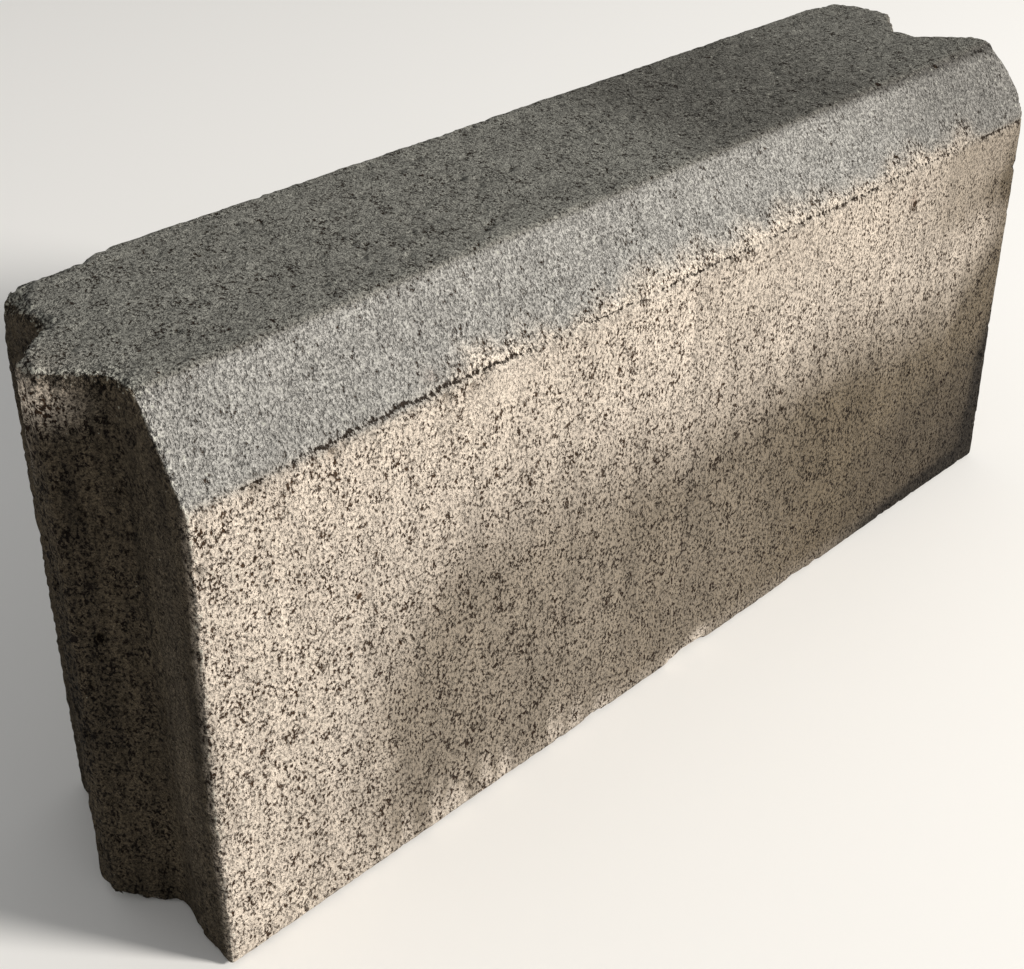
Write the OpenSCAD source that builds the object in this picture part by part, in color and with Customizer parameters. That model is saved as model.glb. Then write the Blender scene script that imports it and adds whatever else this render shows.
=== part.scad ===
// Concrete kerb stone, cast as one piece: a plain block with a sloped front top edge,
// a tongue down its left end and the matching groove down its right end.
// +X runs along the kerb, the front face looks along -Y, and +Z is up.
// The origin is on the bed face, midway between the two joint faces and the two long faces.

/* [Stone] */
// Laying length, from joint face to joint face
stone_length = 500; // [400:10:1000]
// Height from bed to top
stone_height = 240; // [200:5:300]
// Thickness from front face to back face
stone_thickness = 125; // [110:5:160]

/* [Front slope] */
// How far the slope drops down the front face
slope_drop = 36; // [15:1:60]
// How far the slope reaches back across the top
slope_depth = 25; // [10:1:30]

/* [End joint] */
// How far the tongue stands out of the left joint face
tongue_reach = 19; // [12:1:24]
// Width of the tongue where it leaves the joint face
tongue_root = 48; // [40:1:52]
// Width of the tongue across its crest, before rounding
tongue_crest = 12; // [8:1:14]
// Room between the tongue and a neighbour's groove, square to the flanks
joint_clearance = 1.5; // [1:0.5:3]

/* [Arrises] */
// Radius of the worn edges of the section
section_arris = 3; // [1:0.5:5]
// Radius where the slope meets the top
slope_top_arris = 8; // [4:1:10]
// Radius of the upright edges at the four corners
corner_arris = 3; // [1:0.5:4]
// Radius of the tongue's crest and of its roots
tongue_arris = 5; // [2:0.5:6]

/* [Hidden] */

concrete_grey = [0.70, 0.67, 0.61];
arc_steps = 6;
// How far each extrusion runs past the other, so that only their common part is kept
overrun = 10;

half_length = stone_length / 2;
half_thickness = stone_thickness / 2;
flank_angle = atan2((tongue_root - tongue_crest) / 2, tongue_reach);
// The groove is the tongue's outline moved out square to its flanks and its crest.
groove_depth = tongue_reach + joint_clearance;
groove_mouth = tongue_root + 2 * joint_clearance / cos(flank_angle);
groove_floor = groove_mouth - 2 * groove_depth * tan(flank_angle);
groove_arris = 3;

// Points of the arc that rounds the corner at `here` of an outline, whichever way it turns.
function rounded_corner(before, here, after, radius) =
    let (
        to_before = (before - here) / norm(before - here),
        to_after = (after - here) / norm(after - here),
        half_corner = acos(to_before * to_after) / 2,
        middle = (to_before + to_after) / norm(to_before + to_after),
        centre = here + middle * radius / sin(half_corner),
        start = here + to_before * radius / tan(half_corner) - centre,
        finish = here + to_after * radius / tan(half_corner) - centre,
        sweep = 180 - 2 * half_corner
    )
    [for (step = [0:arc_steps])
        let (turned = sweep * step / arc_steps)
        centre + (start * sin(sweep - turned) + finish * sin(turned)) / sin(sweep)];

// An outline from a list of [x, y, radius] corners.
function rounded_outline(corners) =
    let (count = len(corners))
    [for (i = [0:count - 1])
        let (
            before = corners[(i + count - 1) % count],
            here = corners[i],
            after = corners[(i + 1) % count]
        )
        each rounded_corner([before.x, before.y], [here.x, here.y], [after.x, after.y], here.z)];

// Seen from above, X by Y: tongue on the left, groove on the right.
module plan_outline() {
    polygon(rounded_outline([
        [-half_length, -half_thickness, corner_arris],
        [half_length, -half_thickness, corner_arris],
        [half_length, -groove_mouth / 2, groove_arris],
        [half_length - groove_depth, -groove_floor / 2, groove_arris],
        [half_length - groove_depth, groove_floor / 2, groove_arris],
        [half_length, groove_mouth / 2, groove_arris],
        [half_length, half_thickness, corner_arris],
        [-half_length, half_thickness, corner_arris],
        [-half_length, tongue_root / 2, tongue_arris],
        [-half_length - tongue_reach, tongue_crest / 2, tongue_arris],
        [-half_length - tongue_reach, -tongue_crest / 2, tongue_arris],
        [-half_length, -tongue_root / 2, tongue_arris]
    ]));
}

// Seen from the left end, Y by Z: upright faces with the slope cut off the front top edge.
module section_outline() {
    polygon(rounded_outline([
        [-half_thickness, 0, section_arris],
        [half_thickness, 0, section_arris],
        [half_thickness, stone_height, section_arris],
        [-half_thickness + slope_depth, stone_height, slope_top_arris],
        [-half_thickness, stone_height - slope_drop, section_arris]
    ]));
}

module kerb_stone() {
    color(concrete_grey)
    intersection() {
        translate([0, 0, -overrun])
            linear_extrude(height = stone_height + 2 * overrun)
                plan_outline();
        // Stands the section up and runs it along the stone.
        translate([-half_length - tongue_reach - overrun, 0, 0])
            rotate([90, 0, 90])
                linear_extrude(height = stone_length + tongue_reach + 2 * overrun)
                    section_outline();
    }
}

kerb_stone();
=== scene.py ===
"""A concrete kerb stone: bare cast concrete with a warm, pitted front, a grey slope and top, and worn edges.

The part's frame, in metres: +X along the kerb, the front face looks along -Y, +Z up, origin on the bed.
The shaping below works in millimetres, and MM turns them to metres.
"""

import math

import bmesh
import bpy
import numpy as np
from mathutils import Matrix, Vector, kdtree, noise


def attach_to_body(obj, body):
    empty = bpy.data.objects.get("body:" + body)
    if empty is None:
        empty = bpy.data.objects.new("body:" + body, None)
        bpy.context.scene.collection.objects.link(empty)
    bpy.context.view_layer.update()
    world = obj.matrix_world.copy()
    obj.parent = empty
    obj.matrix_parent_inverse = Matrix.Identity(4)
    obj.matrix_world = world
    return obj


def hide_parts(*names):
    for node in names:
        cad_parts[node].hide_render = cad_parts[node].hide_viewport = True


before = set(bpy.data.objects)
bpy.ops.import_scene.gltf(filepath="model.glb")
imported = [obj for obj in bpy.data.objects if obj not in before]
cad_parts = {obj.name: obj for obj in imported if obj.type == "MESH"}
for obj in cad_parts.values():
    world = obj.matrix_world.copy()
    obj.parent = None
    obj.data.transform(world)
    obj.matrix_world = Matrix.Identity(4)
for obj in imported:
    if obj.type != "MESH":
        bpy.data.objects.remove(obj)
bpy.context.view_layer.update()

MM = 0.001

# Driving dimensions of the stone, in millimetres.
HALF_LENGTH = 250
HALF_THICKNESS = 62.5
HEIGHT = 240
SLOPE_DROP = 36
SLOPE_DEPTH = 25
SEAM_HEIGHT = HEIGHT - SLOPE_DROP
TONGUE_REACH = 19
TONGUE_ROOT = 24
TONGUE_CREST = 6
TONGUE_TIP = HALF_LENGTH + TONGUE_REACH
GROOVE_DEPTH = 20.5
GROOVE_MOUTH = 26.1
GROOVE_FLOOR = 6.6

FRONT = -HALF_THICKNESS

POINT_SPACING = 1.4  # of the surface before the flat parts are thinned, in millimetres
MOST_TRIANGLES = 196000

# The two ends seen from above, as corners of their outlines.
TONGUE_END = [
    (-HALF_LENGTH, HALF_THICKNESS),
    (-HALF_LENGTH, TONGUE_ROOT),
    (-TONGUE_TIP, TONGUE_CREST),
    (-TONGUE_TIP, -TONGUE_CREST),
    (-HALF_LENGTH, -TONGUE_ROOT),
    (-HALF_LENGTH, -HALF_THICKNESS),
]
GROOVE_END = [
    (HALF_LENGTH, -HALF_THICKNESS),
    (HALF_LENGTH, -GROOVE_MOUTH),
    (HALF_LENGTH - GROOVE_DEPTH, -GROOVE_FLOOR),
    (HALF_LENGTH - GROOVE_DEPTH, GROOVE_FLOOR),
    (HALF_LENGTH, GROOVE_MOUTH),
    (HALF_LENGTH, HALF_THICKNESS),
]
slope_run = math.hypot(SLOPE_DROP, SLOPE_DEPTH)
# Long faces: outward direction, and how far the face lies along it from the origin.
LONG_FACES = {
    "front": ((0, -1, 0), HALF_THICKNESS),
    "slope": (
        (0, -SLOPE_DROP / slope_run, SLOPE_DEPTH / slope_run),
        (HALF_THICKNESS * SLOPE_DROP + SEAM_HEIGHT * SLOPE_DEPTH) / slope_run,
    ),
    "top": ((0, 0, 1), HEIGHT),
    "back": ((0, 1, 0), HALF_THICKNESS),
    "bed": ((0, 0, -1), 0),
}
FACES = [*LONG_FACES, "tongue_end", "groove_end"]


# ---------------------------------------------------------------- camera and light


def new_object(name, data):
    """An object in the scene, at the origin."""
    made = bpy.data.objects.new(name, data)
    bpy.context.scene.collection.objects.link(made)
    return made


def aim(thing, target):
    """Turns an object at its place so that it looks at a point."""
    direction = Vector(target) - thing.location
    thing.rotation_euler = direction.to_track_quat("-Z", "Y").to_euler()


def soft_light(name, place, target, size, power, colour):
    """A round lamp that looks at a point."""
    lamp = bpy.data.lights.new(name, "AREA")
    lamp.shape = "DISK"
    lamp.size = size
    lamp.energy = power
    lamp.color = colour
    made = new_object(name, lamp)
    made.location = place
    aim(made, target)


def light_scene():
    """One sun-like lamp low on the right, and even white light from all round."""
    warm_white = (1.0, 0.965, 0.92)
    soft_light("key_light", (2.34, -3.42, 1.89), target=(0, 0, 0.1), size=0.9, power=312, colour=warm_white)
    world = bpy.data.worlds.new("studio")
    bpy.context.scene.world = world
    world.use_nodes = True
    add = node_adder(world.node_tree)
    add("OutputWorld", {"Surface": add("Background", {"Color": linear("#ffffff"), "Strength": 0.4})})


def place_camera():
    """A camera in front of the stone, beyond the tongue's end and well above it."""
    camera = new_object("camera", bpy.data.cameras.new("camera"))
    camera.location = (-0.4405, -0.41687, 0.48587)
    camera.rotation_euler = [math.radians(turn) for turn in (63.7949, 0.9121, -41.8377)]
    camera.data.lens = 53.344
    camera.data.sensor_width = 36
    camera.data.shift_x = 0.041
    camera.data.shift_y = -0.2212
    camera.data.clip_start = 0.01
    bpy.context.scene.camera = camera


# ---------------------------------------------------------------- materials


def linear(hex_colour):
    """An sRGB hex colour as linear RGBA."""
    parts = [int(hex_colour[i : i + 2], 16) / 255 for i in (1, 3, 5)]
    return [c / 12.92 if c <= 0.04045 else ((c + 0.055) / 1.055) ** 2.4 for c in parts] + [1]


def new_material(name):
    """A bare material, and the function that adds a node to it with its settings and links.

    Inputs are values or sockets, by place or by name. It gives back the node's output `want`.
    """
    made = bpy.data.materials.new(name)
    made.use_nodes = True
    return made, node_adder(made.node_tree)


def node_adder(tree):
    """Clears a node tree, and gives the function that adds nodes to it."""
    tree.nodes.clear()

    def add(kind, inputs=(), want=0, **settings):
        node = tree.nodes.new("ShaderNode" + kind)
        for name, value in settings.items():
            setattr(node, name, value)
        for place, value in inputs.items() if isinstance(inputs, dict) else enumerate(inputs):
            if isinstance(value, bpy.types.NodeSocket):
                tree.links.new(value, node.inputs[place])
            elif value is not None:
                node.inputs[place].default_value = value
        return node.outputs[want] if node.outputs else node

    return add


# Each face's paste colour, how readily it opens into pores, and how sandy it is.
SKINS = {
    "front": ("#b3a89b", 0.425, 0.65),
    "slope": ("#908e89", 0.36, 1.2),
    "top": ("#7b7a73", 0.395, 1.3),
    "back": ("#8d877e", 0.42, 0.6),
    "bed": ("#87817a", 0.41, 0.8),
    # The tongue's end has a near-black paste: painted shade, as that end faces away from the light.
    "tongue_end": ("#453d31", 0.42, 1.4),
    "groove_end": ("#756d61", 0.41, 0.8),
}
# Air holes that stand alone on an even face: place and radius, in millimetres.
AIR_HOLES = [
    ((-183.7, FRONT, 136.6), 1.4),
    ((156.6, FRONT, 185.3), 1.8),
    ((199.9, -38.5, 239), 2),
    ((155.9, -35, 239), 1.5),
    ((-72, 31, HEIGHT), 1.5),
    ((94, 33, HEIGHT), 1),
]
# Colours laid over the paste. The brown also paints a soft shadow on the front, the dark paints shade in
# places, and the cream paints a sunlit patch on the tongue.
STAINS_LIGHT_AND_SHADE = {"cream": "#c9bcac", "brown_and_shadow": "#5e5445", "dark_and_shade": "#26221d", "rust": "#6e3a1e"}
UNDER_PASTE = "#807a70"
PALE_GRAIN = "#b9b9ac"
SEAM_DIRT = "#2a2119"
IN_A_PORE = (0.13, 0.085, 0.055, 1)  # the part of the light that comes back out
MOST_OF_NOISE = (0.3, 0.7)  # a noise seldom leaves this range


def cast_concrete():
    """Bare cast concrete: matt cement paste over sand. Cream and full of pores where it lay against the
    mould, grey and sandy where it was struck off, open on the tongue's end, whose near-black paste is
    painted shade. Over the paste lie stains, a painted soft shadow on the front, painted shade in holes and
    on the tongue's end, and a painted sunlit patch on the tongue."""
    material, add = new_material("cast_concrete")
    metres = add("TexCoord", want="Object")
    mm = add("VectorMath", {0: metres, "Scale": 1 / MM}, operation="SCALE")
    # The stone was drawn upwards out of its mould, so pores and streaks on it are taller than wide.
    drawn = add("VectorMath", [mm, (1, 0.7, 0.7)], operation="MULTIPLY")
    dragged = add("VectorMath", [mm, (1, 1, 0.1)], operation="MULTIPLY")
    share = {
        name: add("Attribute", want="Fac", attribute_name=name)
        for name in (*SKINS, *STAINS_LIGHT_AND_SHADE, "seam", "worn", "pitted")
    }
    # What each noise lies on, how many of its lumps there are in a millimetre, and its detail and roughness.
    pores, wide_pores, gather, sand, patches, streaks = (
        add("TexNoise", {"Vector": lies_on, "Scale": in_a_mm, "Detail": detail, "Roughness": roughness})
        for lies_on, in_a_mm, detail, roughness in (
            (drawn, 0.78, 2, 0.7),  # pores a little over 1 mm wide
            (drawn, 0.45, 2, 0.6),  # single pores of 2 to 3 mm
            (drawn, 0.16, 1, 0.5),  # places of about 6 mm where pores gather
            (mm, 1.2, 2, 0.7),  # sand grains of about 1 mm
            (mm, 0.04, 1, 0.6),  # paler and darker patches of 25 mm
            (dragged, 0.14, 2, 0.6),  # upright streaks, 7 mm wide and ten times as long
        )
    )

    # The faces run into each other by their shares. `level` is how readily the paste opens, and `sandy` is
    # how much single grains stand out.
    level, colour = 0.0, linear(UNDER_PASTE)
    sandy = add("Math", [share["worn"], 0.6], operation="MULTIPLY")
    for name, (paste, opens, sanded) in SKINS.items():
        level = add("Math", [share[name], opens, level], operation="MULTIPLY_ADD")
        sandy = add("Math", [share[name], sanded, sandy], operation="MULTIPLY_ADD")
        colour = add("Mix", {0: share[name], 6: colour, 7: linear(paste)}, want=2, data_type="RGBA")
    # A pore is where the noise lies under the level. `pit` is its dark inside, and `hollow` is the shaded
    # paste round it.
    level = add("Math", [level, add("MapRange", [gather, *MOST_OF_NOISE, -0.075, 0.045])], operation="ADD")
    level = add("Math", [share["pitted"], 0.08, level], operation="MULTIPLY_ADD")
    deep = add("Math", [level, pores], operation="SUBTRACT")
    wide_deep = add("Math", [level, add("Math", [wide_pores, 0.075], operation="ADD")], operation="SUBTRACT")
    deep = add("Math", [deep, wide_deep], operation="MAXIMUM")
    pit = add("MapRange", [deep, -0.03, 0.065, 0, 1], interpolation_type="SMOOTHSTEP")
    hollow = add("MapRange", [deep, -0.1, 0.06, 0, 1], interpolation_type="SMOOTHSTEP")
    for place, reach in AIR_HOLES:
        away = add("VectorMath", [mm, place], want="Value", operation="DISTANCE")
        away = add("Math", [sand, 1.5, away], operation="MULTIPLY_ADD")
        hole = add("MapRange", [away, reach + 1.1, reach + 0.5, 0, 1], interpolation_type="SMOOTHSTEP")
        pit = add("Math", [pit, hole], operation="MAXIMUM")

    # The stains lie over the paste, and with them the painted shadow, painted shade and painted sunlit patch.
    speck = add("MapRange", [sand, *MOST_OF_NOISE, -0.5, 0.5])
    for name, stain in STAINS_LIGHT_AND_SHADE.items():
        # A stain's edge is as ragged as the sand.
        ragged = add("Math", [speck, 0.3, share[name]], operation="MULTIPLY_ADD")
        reach = add("MapRange", [add("Math", [ragged, share[name]], operation="MULTIPLY"), 0, 1, 0, 1])
        colour = add("Mix", {0: reach, 6: colour, 7: linear(stain)}, want=2, data_type="RGBA")
    # `tone` makes the colour lighter and darker by streaks, patches, grains and hollows.
    streaky = add("Math", [share["tongue_end"], 0.6, 0.3], operation="MULTIPLY_ADD")
    tone = add("MapRange", [streaks, *MOST_OF_NOISE, -0.4, 0.4])
    tone = add("Math", [tone, streaky, 1.0], operation="MULTIPLY_ADD")
    tone = add("Math", [tone, add("MapRange", [patches, *MOST_OF_NOISE, 1.06, 0.94])], operation="MULTIPLY")
    grains = add("Math", [speck, sandy, 1.0], operation="MULTIPLY_ADD")
    tone = add("Math", [tone, grains], operation="MULTIPLY")
    tone = add("Math", [tone, add("MapRange", [hollow, 0, 1, 1.05, 0.7])], operation="MULTIPLY")
    # A worn edge shows pale crumbs between dark gaps. Elsewhere a grain of pale sand lies open now and then.
    crumbs = add("MapRange", [pores, 0.38, 0.6, -0.4, 0.6])
    crumbs = add("Math", [crumbs, share["worn"]], operation="MULTIPLY")
    tone = add("Math", [tone, add("Math", [crumbs, 1.0], operation="ADD")], operation="MULTIPLY")
    colour = add("VectorMath", {0: colour, "Scale": tone}, operation="SCALE")
    pale = add("Math", [share["worn"], 0.17, pores], operation="MULTIPLY_ADD")
    for name in ("tongue_end", "brown_and_shadow"):
        pale = add("Math", [share[name], -0.08, pale], operation="MULTIPLY_ADD")
    pale = add("MapRange", [pale, 0.64, 0.72, 0, 0.6], interpolation_type="SMOOTHSTEP")
    colour = add("Mix", {0: pale, 6: colour, 7: linear(PALE_GRAIN)}, want=2, data_type="RGBA")
    # A pore is a deep hole, so almost no light comes back out of it, and what does is brown.
    colour = add("Mix", {0: pit, 6: colour, 7: IN_A_PORE}, want=2, data_type="RGBA", blend_type="MULTIPLY")

    # The seam under the slope is a thin dark crack, ragged where pores run into it.
    breaks = add("MapRange", [pores, *MOST_OF_NOISE, -1.2, 0.9])
    ragged = add("Math", [share["seam"], breaks], operation="ADD")
    crack = add("MapRange", [ragged, 1.1, 0.2, 0, 0.95], interpolation_type="SMOOTHSTEP")
    colour = add("Mix", {0: crack, 6: colour, 7: linear(SEAM_DIRT)}, want=2, data_type="RGBA")

    # The relief needs only the pores and the sand, which keeps it quick to work out.
    relief = add("MapRange", [pores, 0.36, 0.52, -0.9, 0], interpolation_type="SMOOTHSTEP")
    height = add("Math", [sand, 0.8, relief], operation="MULTIPLY_ADD")
    height = add("Math", [height, crumbs], operation="ADD")
    bump = add("Bump", {"Height": height, "Strength": 1.0, "Distance": MM})
    shader = add(
        "BsdfPrincipled",
        {"Base Color": colour, "Roughness": 0.92, "IOR": 1.5, "Specular IOR Level": 0.12, "Normal": bump},
    )
    add("OutputMaterial", {"Surface": shader})
    return material


def matt_paint():
    """Matt white paint of a studio floor: one even, pale tone."""
    material, add = new_material("matt_white_paint")
    shader = add("BsdfPrincipled", {"Base Color": linear("#f2f1ee"), "Roughness": 0.9})
    add("OutputMaterial", {"Surface": shader})
    return material


# ---------------------------------------------------------------- shaping


def apply_modifiers(made):
    view = bpy.context.evaluated_depsgraph_get()
    mesh = bpy.data.meshes.new_from_object(made.evaluated_get(view))
    made.modifiers.clear()
    made.data = mesh


def fine_copy(node, name):
    """A copy of a CAD node as one even skin of small faces."""
    skin = bmesh.new()
    skin.from_mesh(node.data)
    bmesh.ops.remove_doubles(skin, verts=skin.verts, dist=0.01 * MM)
    mesh = bpy.data.meshes.new(name)
    skin.to_mesh(mesh)
    skin.free()
    made = new_object(name, mesh)
    remesh = made.modifiers.new("even_faces", "REMESH")
    remesh.mode = "VOXEL"
    remesh.voxel_size = POINT_SPACING * MM
    apply_modifiers(made)
    return made


def points_of(mesh, what="vertices"):
    """Places in millimetres of a mesh's vertices, or of its faces' centres."""
    items = getattr(mesh, what)
    found = np.empty(len(items) * 3, np.float32)
    items.foreach_get("co" if what == "vertices" else "center", found)
    return found.reshape(-1, 3).astype(float) / MM


def normals_of(mesh):
    found = np.empty(len(mesh.vertices) * 3, np.float32)
    mesh.vertex_normals.foreach_get("vector", found)
    return found.reshape(-1, 3).astype(float)


def move_points(mesh, points):
    mesh.vertices.foreach_set("co", (points * MM).astype(np.float32).ravel())
    mesh.update()


def attach(mesh, name, values):
    """Keeps a value for every vertex, which the material reads by its name."""
    mesh.attributes.new(name, "FLOAT", "POINT").data.foreach_set("value", values.astype(np.float32))


def end_distance(points, outline):
    """How far inside an end's outline each point lies, and the outward direction there."""
    best = np.full(len(points), 1e9)
    direction = np.zeros((len(points), 3))
    for (ax, ay), (bx, by) in zip(outline, outline[1:]):
        along = np.array([bx - ax, by - ay])
        offset = points[:, :2] - (ax, ay)
        share = np.clip(offset @ along / (along @ along), 0, 1)
        gap = offset - share[:, None] * along
        distance = np.linalg.norm(gap, axis=1)
        closer = distance < best
        best[closer] = distance[closer]
        outward = np.array([along[1], -along[0]]) / np.linalg.norm(along)
        direction[closer, :2] = outward
    return best, direction


def face_distances(points):
    """How far each point lies from every face, in the order of FACES, and both ends' outward directions."""
    rows = [reach - points @ np.array(out) for out, reach in LONG_FACES.values()]
    tongue, tongue_out = end_distance(points, TONGUE_END)
    groove, groove_out = end_distance(points, GROOVE_END)
    return np.stack([*rows, tongue, groove]), tongue_out, groove_out


def outward_directions(tongue_out, groove_out):
    """Every face's outward direction at every point, by the face's name."""
    outs = {name: np.broadcast_to(out, tongue_out.shape) for name, (out, _) in LONG_FACES.items()}
    return {**outs, "tongue_end": tongue_out, "groove_end": groove_out}


def wear(points, out_a, gap_a, out_b, gap_b, radius):
    """Rounds the edge where two faces meet, to a radius of its own at every point."""
    cosine = (out_a * out_b).sum(1)
    a, b = radius - gap_a, radius - gap_b
    sine_2 = np.maximum(1 - cosine**2, 1e-6)
    along_a, along_b = (a - cosine * b) / sine_2, (b - cosine * a) / sine_2
    reach = np.sqrt(np.maximum(along_a * a + along_b * b, 0))
    worn = (along_a > 0) & (along_b > 0) & (reach > radius) & (cosine < 0.98)
    pull = np.where(worn, 1 - radius / np.maximum(reach, 1e-6), 0)[:, None]
    return points - pull * (along_a[:, None] * out_a + along_b[:, None] * out_b)


def near(points, place, reach):
    """1 at a place, and falling away smoothly over a reach, which may differ in x, y and z."""
    return np.exp(-(((points - place) / reach) ** 2).sum(1))


def grain(points, size, seed, octaves=1):
    """Smooth noise from about -1 to 1 with lumps of the given size in millimetres."""
    shifted = points / size + seed * 17.3
    if octaves == 1:
        return np.array([noise.noise(p) for p in shifted.tolist()])
    return np.array([noise.fractal(p, 1.0, 2.0, octaves) for p in shifted.tolist()])


def bell(values, width):
    """1 at 0, and falling away smoothly on both sides."""
    return np.exp(-((values / width) ** 2))


def fade(values, start, end):
    """0 up to start, 1 from end on, and smooth between. The end may lie below the start."""
    share = np.clip((values - start) / (end - start), 0, 1)
    return share * share * (3 - 2 * share)


# Worn edges: the two faces that meet there, and how round the edge is beside the others.
EDGES = [
    ("tongue_end", "top", 1.5),
    ("tongue_end", "slope", 0.4),
    ("tongue_end", "bed", 1.6),
    ("tongue_end", "front", 0.3),
    *(("groove_end", face, 0.9) for face in ("top", "slope", "bed", "front", "back")),
    ("top", "back", 1.0),
    ("top", "slope", 2.5),
    ("bed", "front", 1.5),
    ("bed", "back", 0.8),
]
# Broken corners: place, reach and how much rounder the edge is there, in millimetres.
BROKEN = [
    ((-HALF_LENGTH, HALF_THICKNESS, HEIGHT), 20, 10),
    ((-222, HALF_THICKNESS, HEIGHT), 20, 8),
    ((-HALF_LENGTH, TONGUE_ROOT, HEIGHT), 8, 4),
    ((-268, 4, HEIGHT), 9, 3),
    ((HALF_LENGTH, HALF_THICKNESS, HEIGHT), 20, 8),
    ((HALF_LENGTH, -50, 235), 16, 3),
    ((-HALF_LENGTH, FRONT, 171), 9, 3),
    ((-HALF_LENGTH, FRONT, 130), 10, 4),
    ((-130, HALF_THICKNESS, HEIGHT), 10, 2.5),
    ((3, FRONT, 0), 12, 3.5),
    ((-60, FRONT, 0), 12, 2),
    ((85, FRONT, 0), 26, 2),
    ((-TONGUE_TIP, 0, 0), 14, 5),
]
# Single holes in the tongue's end, the front beside it and the seam: place and reach, in millimetres.
HOLES = [
    ((-247, FRONT, 180), 2),
    ((-240.5, FRONT, 28.7), 1.2),
    ((-236, FRONT, 26.5), 1),
    ((-231, FRONT, 30.5), 1.2),
    ((-263, 0, 110), 2.5),
    ((-TONGUE_TIP, 2, 151), 2),
    ((-268, -3, 84), 2.4),
    ((-262, -13, 131), 2),
    ((-223, FRONT, 201), 2),
    ((-191, FRONT, 200.5), 2.1),
    ((-186, FRONT, 203), 1.5),
    ((-140, FRONT, 201), 1.9),
    ((-127, FRONT, 200), 2.1),
    ((-121, FRONT, 202), 1.5),
]
# How far the stone came out of true, in millimetres.
SLOPE_CROWN = 4
LONGER_AT_BACK = 5
FULL_SHOULDER = 3
# How uneven each face is, and how many shaped air pits it has beside the others.
UNEVEN = {
    "front": (0.35, 0.5),
    "slope": (0.6, 0.35),
    "top": (0.8, 0.5),
    "tongue_end": (1.3, 1.1),
    "groove_end": (0.9, 0.8),
    "back": (0.4, 0.5),
    "bed": (0.6, 0.5),
}
AIR_PITS = 2600
# In millimetres: how much rounder the upright edge behind the tongue is than the others, how much an edge
# loses before it counts as wholly worn, and the seam under the slope.
BEHIND_TONGUE = 7.6
WHOLLY_WORN = 1.5
SEAM_DEPTH = 1.1
SEAM_WIDTH = 1.3


def out_of_true(points, below_slope):
    """The stone as it came out of its mould: full at the grooved end's back and beside the tongue, with a
    slope that is crowned towards the grooved end."""
    x, y, z = points.T
    crown = SLOPE_CROWN * np.exp((x - HALF_LENGTH) / 40) * np.exp(-np.maximum(below_slope, 0) / 12)
    up_slope = np.clip((z - SEAM_HEIGHT) / SLOPE_DROP, 0, 1)
    moved = points + (4 * crown * up_slope * (1 - up_slope))[:, None] * np.array(LONG_FACES["slope"][0])
    moved[:, 0] += LONGER_AT_BACK * fade(y, -40, 20) * np.exp((x - HALF_LENGTH) / 25)
    shoulder = fade(-y, 26, 46) * fade(-z, -200, -60)
    moved[:, 0] -= FULL_SHOULDER * shoulder * np.exp(-(x + HALF_LENGTH) / 15)
    return moved


def worn_edges(points):
    """The points after the edges have been rounded and the corners broken."""
    gaps, tongue_out, groove_out = face_distances(points)
    outs = outward_directions(tongue_out, groove_out)
    gap = dict(zip(FACES, gaps))

    chips = np.maximum(grain(points, 9, 1, 2) - 0.1, 0) * 2.6 + np.maximum(grain(points, 3.4, 2), 0) * 2
    radius = 1 + chips
    for place, reach, extra in BROKEN:
        radius += extra * near(points, place, reach) * (1 + 0.25 * grain(points, 5, 3))
    # The upright edge behind the tongue is worn first, and the others follow one by one.
    tongue_gap, back_gap = gap["tongue_end"], gap["back"]
    moved = wear(points, outs["tongue_end"], tongue_gap, outs["back"], back_gap, 0.4 * radius + BEHIND_TONGUE)
    for a, b, share in EDGES:
        gap = dict(zip(FACES, face_distances(moved)[0]))
        moved = wear(moved, outs[a], gap[a], outs[b], gap[b], radius * share)
    return moved


def air_pits(points, weight):
    """How deep the air pits that are large enough to be shaped go at every point."""
    rng = np.random.default_rng(12)
    tree = kdtree.KDTree(len(points))
    for i, p in enumerate(points.tolist()):
        tree.insert(p, i)
    tree.balance()
    centres = rng.choice(len(points), AIR_PITS, replace=False, p=weight / weight.sum())
    pits = np.zeros(len(points))
    for centre in centres:
        reach = 1.5 + 1.6 * rng.random() ** 3
        deepest = 0.5 + 0.9 * rng.random() ** 2
        for _, i, away in tree.find_range(points[centre].tolist(), reach):
            pits[i] = max(pits[i], deepest * (1 - (away / reach) ** 2))
    for place, reach in HOLES:
        away = np.linalg.norm(points - place, axis=1)
        pits = np.maximum(pits, 1.6 * reach * np.exp(-((away / reach) ** 4)))
    return pits


def seam_under_slope(points):
    """How far each point lies above the seam, which wanders a little, and how far the seam is open there."""
    x, _, z = points.T
    lengthways = points * (1, 0, 0)
    raised = 2.2 * bell(x + 150, 60)
    line = SEAM_HEIGHT - 0.4 + raised + 0.9 * grain(lengthways, 30, 7) + 0.6 * grain(lengthways, 7, 8)
    opened = 0.66 + 0.25 * bell(x + 155, 55) - 0.2 * fade(-x, 200, 212)
    opened = opened + 0.3 * grain(lengthways, 38, 9) + 0.5 * grain(lengthways, 5, 10, 3)
    return z - line, np.clip(opened, 0.2, 1.5)


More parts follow.
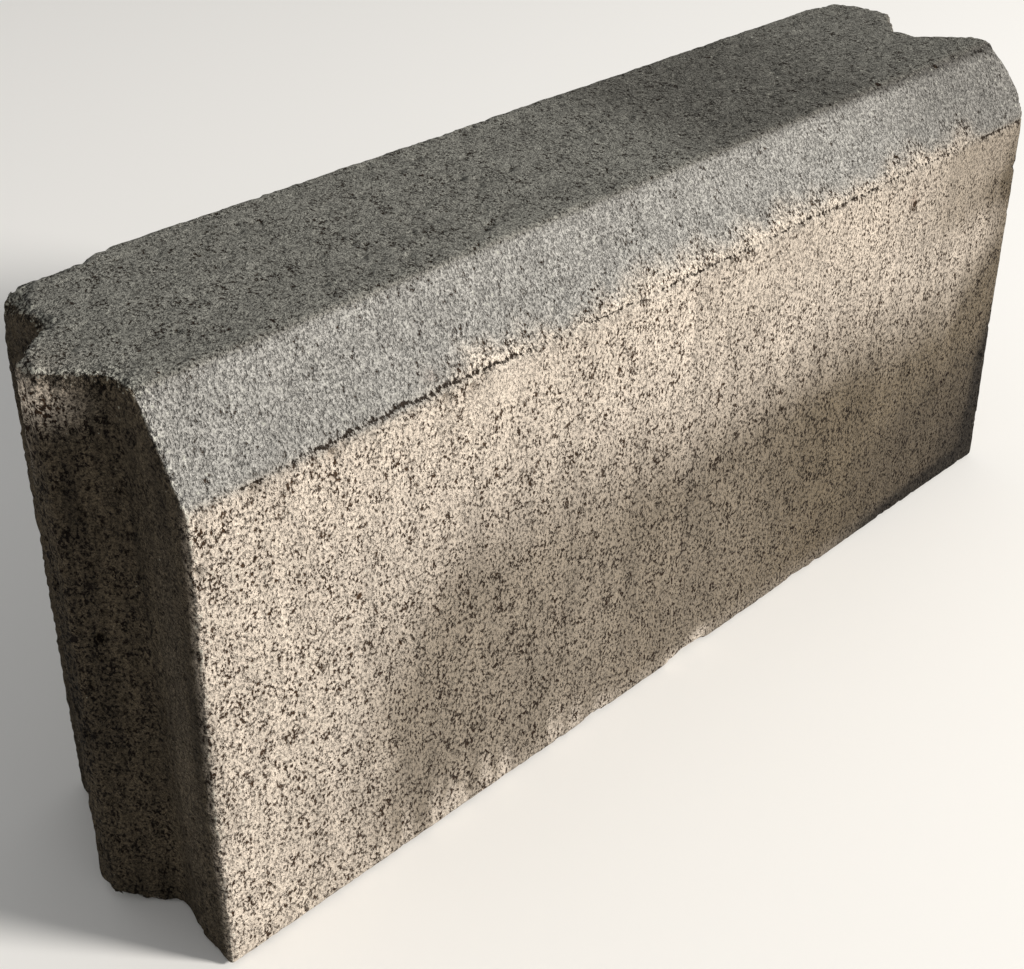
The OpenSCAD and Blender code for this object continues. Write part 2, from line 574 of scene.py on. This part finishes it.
def weather(stone):
    """Wears the edges, makes the faces uneven, and sinks the seam, the crumbled rim and the air pits."""
    mesh = stone.data
    start = points_of(mesh)
    points = worn_edges(start)
    worn = np.clip(np.linalg.norm(points - start, axis=1) / WHOLLY_WORN, 0, 1)
    move_points(mesh, points)

    outward = normals_of(mesh)
    _, tongue_out, groove_out = face_distances(start)
    outs = outward_directions(tongue_out, groove_out)
    gaps = face_distances(points)[0]
    gap = dict(zip(FACES, gaps))
    # A worn corner takes after the face that it looks along with.
    facing = np.array([(outs[name] * outward).sum(1) for name in FACES])
    soft = np.exp(-np.maximum(gaps, 0) + 3 * facing)
    shares = dict(zip(FACES, soft / soft.sum(0)))
    uneven = sum(rough * shares[name] for name, (rough, _) in UNEVEN.items()) + 0.8 * worn
    depth = 0.35 * (grain(points, 70, 4) + 1)
    depth += 0.45 * np.minimum(uneven, 0.8) * (grain(points, 6, 5, 2) + 0.7)
    depth += 0.3 * uneven * (grain(points, 2.6, 6) + 0.7)

    seam, opened = seam_under_slope(points)
    near_seam = (points[:, 1] < FRONT + 8) & (gap["tongue_end"] > 1) & (gap["groove_end"] > 1)
    depth += near_seam * opened * SEAM_DEPTH * bell(seam, SEAM_WIDTH)
    depth += near_seam * 0.5 * np.clip(seam / 1.5, 0, 1) * np.exp(-np.maximum(seam, 0) / 9)

    # The rim of the tongue's end crumbles, and so does the upright edge beside it a little.
    crumbs = grain(points, 3.2, 11)
    rim = bell(np.maximum(gap["top"], gap["tongue_end"]), 5)
    depth += rim * 1.5 * np.maximum(crumbs + 0.35, 0)
    edge = bell(np.maximum(np.minimum(gap["slope"], gap["front"]), gap["tongue_end"]), 2.5)
    depth += edge * 0.9 * np.maximum(crumbs + 0.25, 0)
    worn = np.maximum(worn, np.maximum(rim, 0.8 * edge))

    depth += air_pits(points, sum(pits * shares[name] for name, (_, pits) in UNEVEN.items()) + 1.5 * worn)
    move_points(mesh, out_of_true(points - outward * depth[:, None], gap["slope"]))

    # The material draws the crack where this is small. It is 0 in the seam's middle, and grows more slowly
    # away from it where the seam is open.
    seam = np.abs(seam) / np.maximum(opened, 0.35) + 1.2 * np.maximum(0.5 - opened, 0)
    for name, values in (*shares.items(), ("seam", np.where(near_seam, seam, 20)), ("worn", worn)):
        attach(mesh, name, values)


def thin(stone):
    """Thins the skin where it is flattest until it has no more than MOST_TRIANGLES."""
    triangles = sum(len(face.vertices) - 2 for face in stone.data.polygons)
    fewer = stone.modifiers.new("fewer_faces", "DECIMATE")
    fewer.ratio = min(1, MOST_TRIANGLES / triangles)
    apply_modifiers(stone)


# Where each face lies on the stone's map, in millimetres: what runs across it, what runs up it, and the start
# of both.
CHARTS = {
    "front": ((1, 0, 0), (0, 0, 1), (271, 246)),
    "slope": ((1, 0, 0), (0, SLOPE_DEPTH / slope_run, SLOPE_DROP / slope_run), (271, 551)),
    "top": ((1, 0, 0), (0, 1, 0), (271, 618)),
    "back": ((1, 0, 0), (0, 0, 1), (271, 2)),
    "bed": ((1, 0, 0), (0, 1, 0), (271, 515)),
    "tongue_end": ((0, -1, 0), (0, 0, 1), (588, 2)),
    "groove_end": ((0, 1, 0), (0, 0, 1), (588, 246)),
}
MAP_SIZE = 730  # the side of the whole map


def lay_out(stone):
    """Gives the skin a map on which each face lies flat."""
    mesh = stone.data
    owner = face_distances(points_of(mesh, "polygons"))[0].argmin(0)
    size = np.empty(len(mesh.polygons), np.int32)
    mesh.polygons.foreach_get("loop_total", size)
    owner = np.repeat(owner, size)
    vertex = np.empty(len(mesh.loops), np.int32)
    mesh.loops.foreach_get("vertex_index", vertex)
    corners = points_of(mesh)[vertex]
    across, up, start = (np.array(part)[owner] for part in zip(*(CHARTS[name] for name in FACES)))
    places = np.stack([(corners * across).sum(1), (corners * up).sum(1)], 1) + start
    chart = mesh.uv_layers.new(name="OFBake")
    chart.data.foreach_set("uv", (places / MAP_SIZE).astype(np.float32).ravel())


# The brown of the front with its painted soft shadow, in millimetres: how high it reaches at places along
# the stone, and how far along it starts at heights.
BROWN_SHADOW_TOP = ((-250, 141), (-150, 142), (-50, 137), (0, 130), (70, 133), (150, 125), (200, 122), (250, 165))
BROWN_SHADOW_START = ((0, -200), (64, -200), (139, -170), (204, -155))
# How far the edges of the stains wander, in millimetres, in wide turns and in fine ones.
RAGGED_WIDE = 8
RAGGED_FINE = 6
# Clean chips and runs along the foot of the front: place and reach, in millimetres.
PALE_CHIPS = [
    ((12, FRONT, 6), (6, 6, 4)),
    ((-6, FRONT, 2), (5, 6, 4)),
    ((-54, FRONT, 3), (4, 6, 6)),
    ((-71, FRONT, 5), (3, 6, 9)),
    ((-113, FRONT, 6), (3, 6, 10)),
    ((-144, FRONT, 5), (5, 6, 7)),
]
# Single marks: place, reach in x, y and z, in millimetres, and how much of the stain, painted shade or
# painted light there is. Less than none takes it away.
MARKS = {
    "brown_and_shadow": [(place, reach, -0.7) for place, reach in PALE_CHIPS],
    "rust": [
        ((155, FRONT, 188), (4.5, 5, 6), 0.45),
        ((-143, -58, 210), (4, 5, 3), 0.4),
        ((-262, 16, 185), (5, 5, 5), 0.35),
    ],
    "pitted": [
        ((-243, FRONT, 185), (12, 5, 22), 0.4),
        ((-200, FRONT, 199), (14, 5, 4), 0.5),
        ((-130, FRONT, 200), (14, 5, 3), 1),
        ((-TONGUE_TIP, 0, 120), (20, 13, 80), 0.9),
        ((-268, 0, 224), (9, 14, 14), 0.6),
        ((-HALF_LENGTH, -44, 120), (9, 14, 120), -1),
        ((-HALF_LENGTH, 44, 120), (9, 14, 120), -1),
        ((-110, FRONT, 196), (22, 5, 9), -1.6),
        ((60, FRONT, 185), (40, 5, 14), -0.6),
        ((205, FRONT, 192), (30, 5, 9), -0.8),
    ],
    "cream": [
        # A painted sunlit patch at the top of the tongue.
        ((-264, -2, 228), (16, 17, 11), 1),
        ((-264, 12, 206), (12, 9, 18), 0.85),
        ((-HALF_LENGTH, -44, 110), (9, 14, 110), 0.2),
    ],
    "dark_and_shade": [
        *((place, reach, -0.5) for place, reach in PALE_CHIPS),
        # Painted shade in the single holes.
        *((place, (reach * 1.3,) * 3, 0.9) for place, reach in HOLES),
        # Painted shade on the tongue's end, beside the front edge and just under the rim at the back.
        ((-HALF_LENGTH, -58, 100), (5, 12, 110), 0.4),
        ((-HALF_LENGTH, 35, 222), (8, 18, 13), 0.65),
    ],
}


def front_brown_and_shadow(x, z, ragged, streaky):
    """The brown of the front's lower half, partly brown dirt and partly a painted soft shadow, lighter in
    places and cut by clean runs and a clean foot.
    """
    top, start = np.interp(x, *zip(*BROWN_SHADOW_TOP)), np.interp(z, *zip(*BROWN_SHADOW_START))
    brown_and_shadow = fade(top - z + 0.6 * ragged, -52, 40) * fade(x - start + 0.8 * ragged, -30, 42)
    along = 0.82 + 0.06 * fade(x, -70, -20) - 0.05 * fade(x, 90, 160)
    return brown_and_shadow * (along - 0.5 * streaky * fade(-x, 50, 80) - 0.15 * fade(-z, -14, -2))


def dark_and_painted_shade(x, z, ragged, front, slope):
    """Painted shadow in the front's lower right corner, the front darker up its right edge and along its
    foot, and the top and the slope darker on the right."""
    corner = fade(35 + 0.25 * (x - 40) + ragged - z, -22, 18) * fade(x + ragged, 80, 170)
    low_right = fade(x - z + ragged, 140, 230) * fade(-z, -75, -35)
    foot = (0.35 * fade(x, -110, -50) + 0.2 * fade(x, 120, 180)) * fade(-z, -16, -4)
    top = fade(x, -10, 60) * (1 - 0.35 * fade(x, 130, 210)) * fade(z, HEIGHT - 6, HEIGHT - 1)
    on_front = 0.6 * corner + 0.3 * low_right + 0.45 * fade(x + 0.5 * ragged, 226, 248) + foot
    return on_front * front + 0.65 * top + 0.58 * slope * fade(x, 90, 200)


def paint(stone):
    """Writes where the skin is cream, brown, dark, rusty or full of pits at every point. The brown holds a
    painted soft shadow, the dark painted shade in places, and the cream a painted sunlit patch on the tongue.
    """
    mesh = stone.data
    points = points_of(mesh)
    x, y, z = points.T
    front = fade(y, FRONT + 6, FRONT + 3) * fade(-z, -SEAM_HEIGHT - 4, -SEAM_HEIGHT + 3)
    slope = fade(z, SEAM_HEIGHT - 3, SEAM_HEIGHT + 2) * fade(-y, 34, 40)
    wide, fine = grain(points, 40, 21, 3), grain(points * (1, 1, 0.3), 9, 22, 2)
    ragged = RAGGED_WIDE * wide + RAGGED_FINE * fine
    streaky = fade(grain(points * (1, 0, 0), 5, 25, 2), 0.05, 0.4) * fade(-z, -30, -4)
    brown_and_shadow = front_brown_and_shadow(x, z, ragged, streaky)
    high = fade(z + 0.5 * ragged, 140, 175)
    high_brown = (0.25 * fade(x, -30, 20) + 0.35 * fade(x, 150, 200)) * high
    # The cream band runs along the foot of the slope, and the cleanest cream lies high and left on the front.
    band = fade(SEAM_HEIGHT + 9 + 5 * wide + 4 * fine - z, -8, 10) * fade(x + ragged, -165, -120)
    band *= fade(-x, -225, -195)
    cream = np.maximum(fade(z + ragged, 140, 180) * fade(x + ragged, -245, -200), fade(-x + ragged, 180, 210))
    more_pits = 0.12 * grain(points, 12, 26) - 0.1 * fade(x, 0, 250) + 0.12 * brown_and_shadow
    painted = {
        "cream": 0.45 * front * cream + 0.8 * band * slope,
        "brown_and_shadow": (brown_and_shadow + 0.15 * fade(x, 0, 150) + high_brown) * front,
        "dark_and_shade": dark_and_painted_shade(x, z, ragged, front, slope),
        "rust": np.zeros(len(points)),
        "pitted": 0.9 * band * slope + front * more_pits,
    }
    for name, marks in MARKS.items():
        for place, reach, amount in marks:
            painted[name] += amount * near(points, place, reach)
    for name, values in painted.items():
        least, most = (-2, 3) if name == "pitted" else (0, 1)
        attach(mesh, name, np.clip(values, least, most))


# ---------------------------------------------------------------- the scene

FLOOR_RADIUS = 12  # metres

place_camera()

stone = fine_copy(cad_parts["kerb_stone"], "weathered_kerb_stone")
weather(stone)
thin(stone)
lay_out(stone)
paint(stone)
stone.data.shade_smooth()
stone.data.materials.clear()
stone.data.materials.append(cast_concrete())
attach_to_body(stone, "root")
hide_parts("kerb_stone")

floor_disc = bmesh.new()
bmesh.ops.create_circle(floor_disc, cap_ends=True, segments=96, radius=FLOOR_RADIUS)
floor_mesh = bpy.data.meshes.new("floor")
floor_disc.to_mesh(floor_mesh)
floor_disc.free()
floor = new_object("floor", floor_mesh)
floor_mesh.materials.append(matt_paint())

light_scene()
bpy.context.scene.view_settings.view_transform = "Standard"
